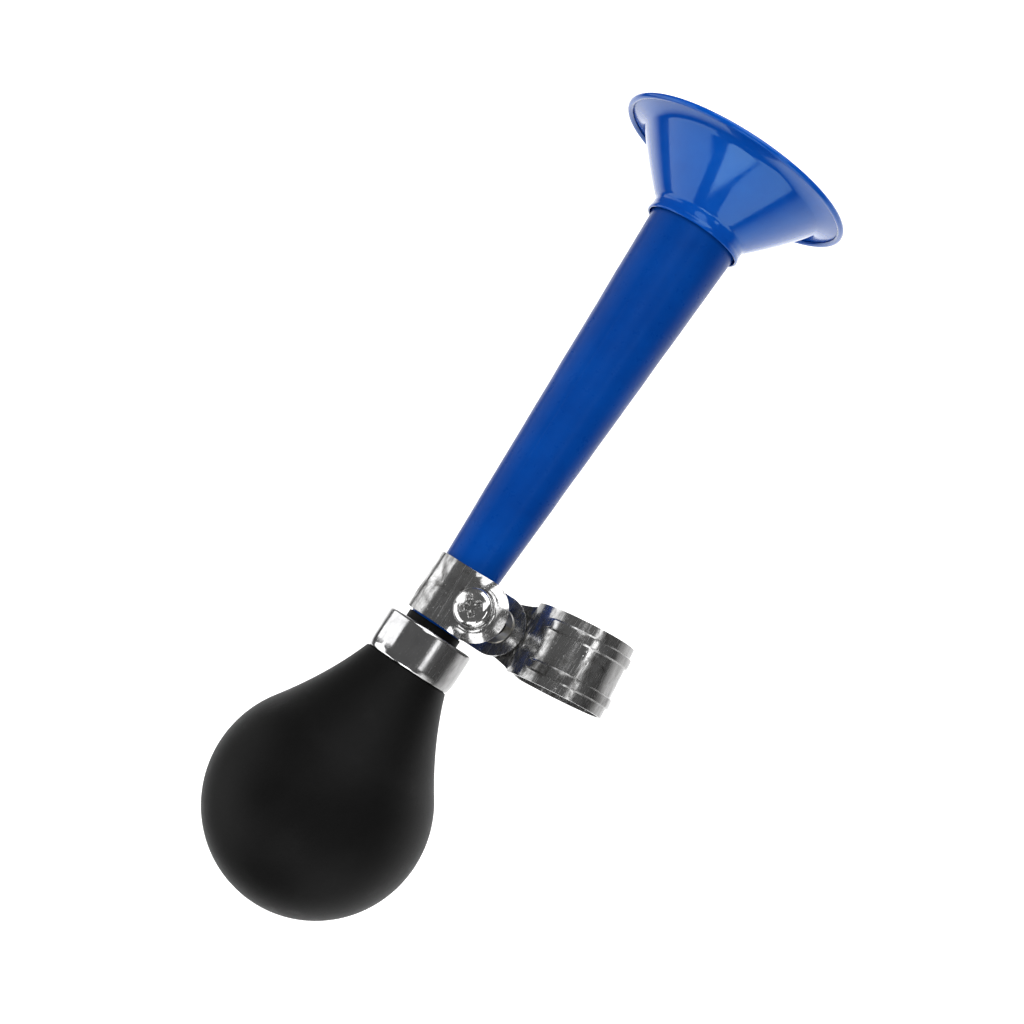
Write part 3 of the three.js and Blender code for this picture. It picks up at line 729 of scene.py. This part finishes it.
def make_strap():
    """A strip bent from the front ear, round the horn and back to the rear ear. The front ear is
    dished: outside 5.5 mm from the screw it slopes down by 0.75 mm per mm, with the bend eased, and the
    dish fades out towards the horn."""
    last = 90 - STRAP_WRAP
    leave = STRAP_TOP * np.array([math.cos(math.radians(last)), math.sin(math.radians(last))])
    slope = -1 / math.tan(math.radians(last))
    run = (REAR_EAR - leave[1]) / slope
    ear_end = -EAR_TO_AXIS - STRAP_HALF - 1
    round_horn = arc((0, 0), STRAP_TOP, 90, last, 120)
    rear = [(leave[0] + run, REAR_EAR), (ear_end, REAR_EAR)]
    corners = np.vstack([[(ear_end, STRAP_TOP)], round_horn, rear])
    line = softened(corners, SHEET_STEP, 0.5)
    start = STRAP_HALF + 1
    length = (len(line) - 1) * SHEET_STEP - 2 * start
    share = np.linspace(-1, 1, 41)

    def half_width(u):
        return np.full(u.shape, STRAP_HALF)

    def rise(x, u):
        past = np.where(u < 0, np.hypot(x, u), np.abs(x)) - DISH_START
        eased = np.maximum(past + DISH_BEND * np.exp(-np.abs(past) / DISH_BEND), 0)
        return -DISH_SLOPE * eased * (1 - smooth(u, 0.5, 6.5))

    plan, faces = sheet_plan(length, STRAP_HALF, half_width, STRAP_HALF, HOLE_RADIUS, 130, share)
    local = bent(plan, line, SHEET_STEP, start, rise)
    local[:, 1] += EAR_TO_AXIS
    piece = make_piece("horn_clip", place_strap(local), faces, STRAP_PLATE, "horn", ["horn_strap"])
    finish_sheet(piece, STRAP_SHEET, 0.18)
    return piece


# ---- Screw, washers and nut ----


RECESS_TURN = 0.6


def make_screw():
    """A pan-head screw. The head's top is a quadratic curve of revolution with a cross recess cut by a
    depth that falls off across each arm. The thread is r = shank - depth * triangle(z / pitch + a /
    turn)."""
    low, top = heights("clamp_screw")
    head = size("clamp_screw")[0] / 2
    head_height, edge_height, foot_radius = 3.2, 1.5, 0.35
    recess_reach, recess_depth = 3.1, 2.0
    seat = top - head_height
    crown = bezier([(0, head_height), (head * 0.9, head_height), (head, edge_height)], 64) + [0, seat]
    side = arc((head - foot_radius, seat + foot_radius), foot_radius, 0, -90, 5)
    cuts = np.arange(seat - 0.4, low + 1.0, -THREAD_PITCH / 8)
    shank = np.stack([np.full(cuts.shape, SHANK_RADIUS), cuts], 1)
    tip = np.array([(SHANK_RADIUS - 0.5, low + 0.12), (SHANK_RADIUS - 0.8, low), (0, low)])
    outline = np.vstack([crown, side, [(SHANK_RADIUS, seat)], shank, tip])
    segments = 112
    even = np.linspace(0, TAU, segments, endpoint=False)
    closer_at_arms = 0.19
    angles = even - closer_at_arms * np.sin(4 * even)

    def lift(r, z, a):
        x, y = r * np.cos(a), r * np.sin(a)
        reach = 1 - np.clip(np.hypot(x, y) / recess_reach, 0, 1) ** 2.2
        arm = np.maximum(1 - smooth(np.abs(y), 0.42, 0.8), 1 - smooth(np.abs(x), 0.42, 0.8))
        flare = 1 - smooth(np.hypot(x, y), 0.6, 1.5)
        on_top = z > seat + edge_height - 0.05
        cut = np.where(on_top, recess_depth * np.maximum(arm * smooth(reach, 0, 0.6), flare), 0)
        phase = np.remainder(z / THREAD_PITCH + a / TAU, 1)
        groove = THREAD_DEPTH * np.abs(2 * phase - 1)
        threaded = (z < seat - 0.2) & (z > low + 0.5)
        return np.where(threaded, r - groove, r), z - cut

    points = place_bracket(spun(outline, segments, lift, angles) @ turn_about_z(RECESS_TURN))
    faces = grid_faces(len(outline), segments, False, True)
    node = ["clamp_screw"]
    return make_piece("pan_head_screw", points, faces, SCREW_PLATE, "bracket", node, crease=40)


def toothed_disc(name, node, radius, rim, facing, finish, body, place):
    """A washer with radial teeth on one face. The face's height is a triangle wave in the angle, faded
    in from the hole and out at a plain rim of the given width, and facing is 1 for teeth that point up
    and -1 for down."""
    low, high = heights(node)
    plate = high - low - TOOTH_HEIGHT
    inner, outer, edge = HOLE_RADIUS, radius, 0.12
    top = np.stack([np.linspace(inner + 0.15, outer - 0.1, 30), np.full(30, plate)], 1)
    outside = [(outer, plate - edge), (outer, edge), (outer - edge, 0)]
    outline = np.vstack([top, outside, [(inner + edge, 0), (inner, edge), (inner, plate - 0.15)]])
    segments = TOOTH_COUNT * 12

    def lift(r, z, a):
        wave = 1 - np.abs(2 * np.remainder(a * TOOTH_COUNT / TAU, 1) - 1)
        ring = smooth(r, outer - rim - 0.25, outer - rim) if rim else np.zeros_like(r)
        fade = 1 - smooth(r, outer - rim - 0.5, outer - rim - 0.1)
        teeth = wave * smooth(r, inner + 0.3, inner + 0.9) * fade
        on_top = z > plate - 0.01
        height = TOOTH_HEIGHT * np.maximum(teeth, ring * (1 - smooth(r, outer - 0.2, outer) * 0.5))
        return r, np.where(on_top, z + height, z)

    points = spun(outline, segments, lift)
    points[..., 2] = low + points[..., 2] if facing > 0 else high - points[..., 2]
    faces = grid_faces(len(outline), segments, True, True)
    return make_piece(name, place(points), faces, finish, body, [node], crease=28)


def make_flat_washer():
    """A plain washer with softened edges."""
    low, high = heights("nut_washer")
    radius, segments = 5, 96
    outline = rounded([(HOLE_RADIUS, low), (radius, low), (radius, high), (HOLE_RADIUS, high)], 0.16)
    points = spun(outline, segments)
    faces = grid_faces(len(outline), segments, True, True)
    return make_piece("flat_washer", place_bracket(points), faces, ZINC, "bracket", ["nut_washer"])


def make_spring_washer():
    """A split spring washer: a rounded square section carried almost once round, rising a little as it
    goes."""
    low, high = heights("lock_washer")
    radius, gap, spring = 4.4, 0.14, 0.12
    top = high - spring
    section = rounded([(HOLE_RADIUS, low), (radius, low), (radius, top), (HOLE_RADIUS, top)], 0.14)
    a = np.linspace(gap, TAU - gap, 120)
    rise = spring * (a - gap) / (TAU - 2 * gap)
    r, z = section[:, :1] + 0 * a, section[:, 1:] + rise
    body = np.stack([r * np.cos(a), r * np.sin(a), z], -1)
    middle_of = body.mean(0, keepdims=True)
    first = np.repeat(middle_of[:, :1], len(section), 0)
    last = np.repeat(middle_of[:, -1:], len(section), 0)
    points = np.concatenate([first, body, last], 1)
    faces = grid_faces(len(section), len(a) + 2, True, False)
    return make_piece("spring_washer", place_bracket(points), faces, ZINC, "bracket", ["lock_washer"])


def make_nut():
    """A hexagon nut. The side's radius is that of the flat, h / cos(a), cut back near each face to the
    cone of the chamfer, and the bore has the screw's thread."""
    low, high = heights("clamp_nut")
    flat, mouth, chamfer_slope, thread_depth = 4.0, 3.0, 1.9, 0.22
    corner = flat / math.cos(math.pi / 6)
    side = np.linspace(low, high, 26)
    bore = np.linspace(high - 0.25, low + 0.25, 34)
    outside = np.stack([np.full(side.shape, corner), side], 1)
    inside_bore = np.stack([np.full(bore.shape, SHANK_RADIUS + 0.1), bore], 1)
    outline = np.vstack([[(mouth, low)], outside, [(mouth, high)], inside_bore])
    segments = 144

    def lift(r, z, a):
        sector = np.remainder(a + math.pi / 6, math.pi / 3) - math.pi / 6
        hexagon = flat / np.cos(sector)
        cone = flat + np.minimum(z - low, high - z) * chamfer_slope - 0.05
        outside = r > corner - 0.01
        phase = np.remainder(z / THREAD_PITCH + a / TAU, 1)
        inside = r < SHANK_RADIUS + 0.2
        r = np.where(outside, np.minimum(hexagon, cone), r)
        return np.where(inside, r + thread_depth * np.abs(2 * phase - 1), r), z

    points = place_bracket(spun(outline, segments, lift))
    faces = grid_faces(len(outline), segments, True, True)
    return make_piece("hexagon_nut", points, faces, ZINC, "bracket", ["clamp_nut"], crease=25)


# ---- Band round the handlebar ----

EAR_RADIUS = 7.3
BAND_HALF = 9.5
BAND_SHOULDER = 12.5
BAND_FILLET = 2.0
EAR_RISE = 1.2
RIB_HEIGHT = 0.6
RIB_OFFSET = 5.5


def band_half_width(u):
    """Half the band's width at a distance from the screw: the ear's radius at 0, easing out to full
    width."""
    t = np.clip(u / BAND_SHOULDER, 0, 1)
    return EAR_RADIUS + (BAND_HALF - EAR_RADIUS) * smooth(t, 0.05, 0.95)


def make_band():
    """A strip bent from the upper ear, round the handlebar and back to the lower ear, with two pressed
    ribs that are a smooth step up and down across the strip and fade out before the ears."""
    centre = -math.hypot(SCREW_X, SCREW_Y)
    low, high = heights("handlebar_band")
    height = (low + high) / 2
    across = (high - low) / 2
    middle_radius = across - RIB_HEIGHT - BAND_SHEET / 2
    reach = middle_radius + BAND_FILLET
    lift_of = EAR_RISE + BAND_FILLET
    turn_in = centre + math.sqrt(reach**2 - lift_of**2)
    meet = math.degrees(math.asin(lift_of / reach))
    start = EAR_RADIUS + 1
    ear = [(start, EAR_RISE), (turn_in, EAR_RISE)]
    fillet = arc((turn_in, lift_of), BAND_FILLET, -90, meet - 180, 16)
    upper = np.vstack([ear, fillet, arc((centre, 0), middle_radius, meet, 180, 160)])
    whole = np.vstack([upper, (upper * [1, -1])[::-1]]) + [0, height]
    line = softened(whole, SHEET_STEP, 0.35)
    length = (len(line) - 1) * SHEET_STEP - 2 * start
    ribbed = np.array([4.1, 4.25, 4.45, 4.65, 4.8, 5.1, 5.5, 5.9, 6.2, 6.35, 6.55, 6.75, 6.9])
    flat_edge = np.linspace(7.2, BAND_HALF, 6)
    between = np.linspace(-3.7, 3.7, 13)
    share = np.concatenate([-flat_edge[::-1], -ribbed[::-1], between, ribbed, flat_edge]) / BAND_HALF
    plan, faces = sheet_plan(length, EAR_RADIUS, band_half_width, EAR_RADIUS, HOLE_RADIUS, 260, share)

    def rise(x, u):
        off = np.abs(np.abs(x) - RIB_OFFSET)
        fade = smooth(np.minimum(u, length - u), 20.5, 24.5)
        return -RIB_HEIGHT * (1 - smooth(off, 0.8, 1.35)) * fade

    points = place_bracket(bent(plan, line, SHEET_STEP, start, rise))
    piece = make_piece("handlebar_clamp", points, faces, BAND_PLATE, "bracket", ["handlebar_band"])
    finish_sheet(piece, BAND_SHEET, 0.2)
    return piece


make_tube()
make_bell()
make_bulb()
make_bulb_lip()
make_collar()
make_strap()
make_screw()
toothed_disc(
    "serrated_disc", "serrated_seat", SEAT_RADIUS, SEAT_RIM, 1, SEAT_STEEL, "bracket", place_bracket
)
toothed_disc(
    "toothed_washer", "tooth_washer", TOOTHED_WASHER_RADIUS, 0.0, -1, ZINC, "horn", place_strap
)
make_flat_washer()
make_spring_washer()
make_nut()
make_band()

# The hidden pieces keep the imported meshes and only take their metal.
for node in ("neck_tube", "reed_plug", "reed_shallot", "reed_tongue", "reed_clip"):
    slots = frame["nodes"][node].data.materials
    slots.clear()
    slots.append(ZINC if node == "neck_tube" else BRASS)

# ---- Floor, light and camera ----

CENTRE = Vector((STATION_ZERO + 36.25, AXIS_Y, AXIS_Z)) * MM
FLOOR_DROP = 0.22
FLOOR_HALF = 1.6
ROOM_STRENGTH = 0.09
CAMERA_TIP = math.radians(24.5)
CAMERA_LEAN = math.radians(33.5)
CAMERA_DISTANCE = 0.465
CAMERA_DROP = 0.43 * MM


def make_floor():
    """A pale, slightly glowing matt sheet so far below the horn that only a faint shade falls on it.
    Both its colour and its glow fall off to dark between 0.34 and 0.85 m from a spot under the horn."""
    height = cad_box[0][2] - FLOOR_DROP
    corners = [(FLOOR_HALF * x, FLOOR_HALF * y, height) for x, y in ((-1, -1), (1, -1), (1, 1), (-1, 1))]
    mesh = bpy.data.meshes.new("floor")
    mesh.from_pydata(corners, [], [(0, 1, 2, 3)])
    f = Finish("pale_floor", Roughness=0.9, Specular_IOR_Level=0.1, Emission_Strength=0.5)
    mottle = f.noise(f.where(), 3.0, 2, 0.5)
    pale = f.blend(mottle, (0.86, 0.86, 0.86, 1), (0.9, 0.9, 0.9, 1))
    far = f.distance(0.05, 0.145).above(0.34, 0.85)
    f.feed(Base_Color=f.blend(far, pale, (0.06, 0.06, 0.06, 1)))
    f.feed(Emission_Color=f.blend(far, (1, 1, 1, 1), (0.02, 0.02, 0.02, 1)))
    mesh.materials.append(f.material)
    floor = bpy.data.objects.new("floor", mesh)
    bpy.context.scene.collection.objects.link(floor)


def softbox(name, direction, distance, width, height, power, lit_only=False):
    """A rectangular light at a distance along a direction from the horn's middle, facing it. Gloss doesn't
    mirror a light that is lit_only."""
    light = bpy.data.lights.new(name, "AREA")
    light.shape = "RECTANGLE"
    light.size, light.size_y = width, height
    light.energy = power
    lamp = bpy.data.objects.new(name, light)
    away = Vector(direction).normalized()
    lamp.location = CENTRE + distance * away
    lamp.rotation_mode = "QUATERNION"
    lamp.rotation_quaternion = away.to_track_quat("Z", "Y")
    lamp.visible_glossy = not lit_only
    bpy.context.scene.collection.objects.link(lamp)


def make_world():
    """A dim grey room, the same all round."""
    world = bpy.data.worlds.new("studio")
    world.use_nodes = True
    room = world.node_tree.nodes["Background"]
    room.inputs["Color"].default_value = (1, 1, 1, 1)
    room.inputs["Strength"].default_value = ROOM_STRENGTH
    bpy.context.scene.world = world


def make_camera():
    """The camera stands over the collar, tipped 24.5 degrees towards the handlebar side, and looks near the
    middle of the whole horn, with the bell up to the right in its view."""
    tip, lean = CAMERA_TIP, CAMERA_LEAN
    away = Vector((0, -math.sin(tip), math.cos(tip)))
    foot = Vector((STATION_ZERO + 1, AXIS_Y, AXIS_Z)) * MM
    camera = bpy.data.objects.new("camera", bpy.data.cameras.new("camera"))
    camera.location = foot + CAMERA_DISTANCE * away
    aim = CENTRE - CAMERA_DROP * Vector((0, math.cos(tip), math.sin(tip)))
    back = (camera.location - aim).normalized()
    right = Vector((math.sin(lean), -math.cos(lean) * math.cos(tip), -math.cos(lean) * math.sin(tip)))
    right = (right - right.dot(back) * back).normalized()
    up = back.cross(right)
    camera.rotation_mode = "QUATERNION"
    camera.rotation_quaternion = Matrix((right, up, back)).transposed().to_quaternion()
    camera.data.lens = 65.0
    camera.data.clip_start = 0.01
    bpy.context.scene.collection.objects.link(camera)
    bpy.context.scene.camera = camera


make_floor()
softbox("left_box", (-0.62, 0.72, 0.30), 0.9, 0.95, 0.62, 3.6)
softbox("side_box", (0.08, 0.9, 0.42), 0.9, 0.42, 1.0, 2.0)
softbox("right_box", (-0.75, -0.655, 0.1), 0.6, 0.46, 0.4, 1.3)
softbox("front_box", (0.9, -0.15, 0.42), 0.8, 0.8, 0.6, 4.5)
softbox("rear_box", (-0.82, -0.2, 0.62), 0.8, 0.4, 0.3, 1.3)
softbox("ring_box", (0.0, -0.8, 0.6), 0.9, 0.5, 0.16, 0.6)
softbox("bell_box", (0.42, -0.30, 0.86), 0.9, 0.34, 0.5, 1.0)
softbox("top_fill", (0.1, -0.2, 1.0), 1.6, 1.6, 1.6, 24, lit_only=True)
make_world()
make_camera()
bpy.context.scene.view_settings.view_transform = "Standard"
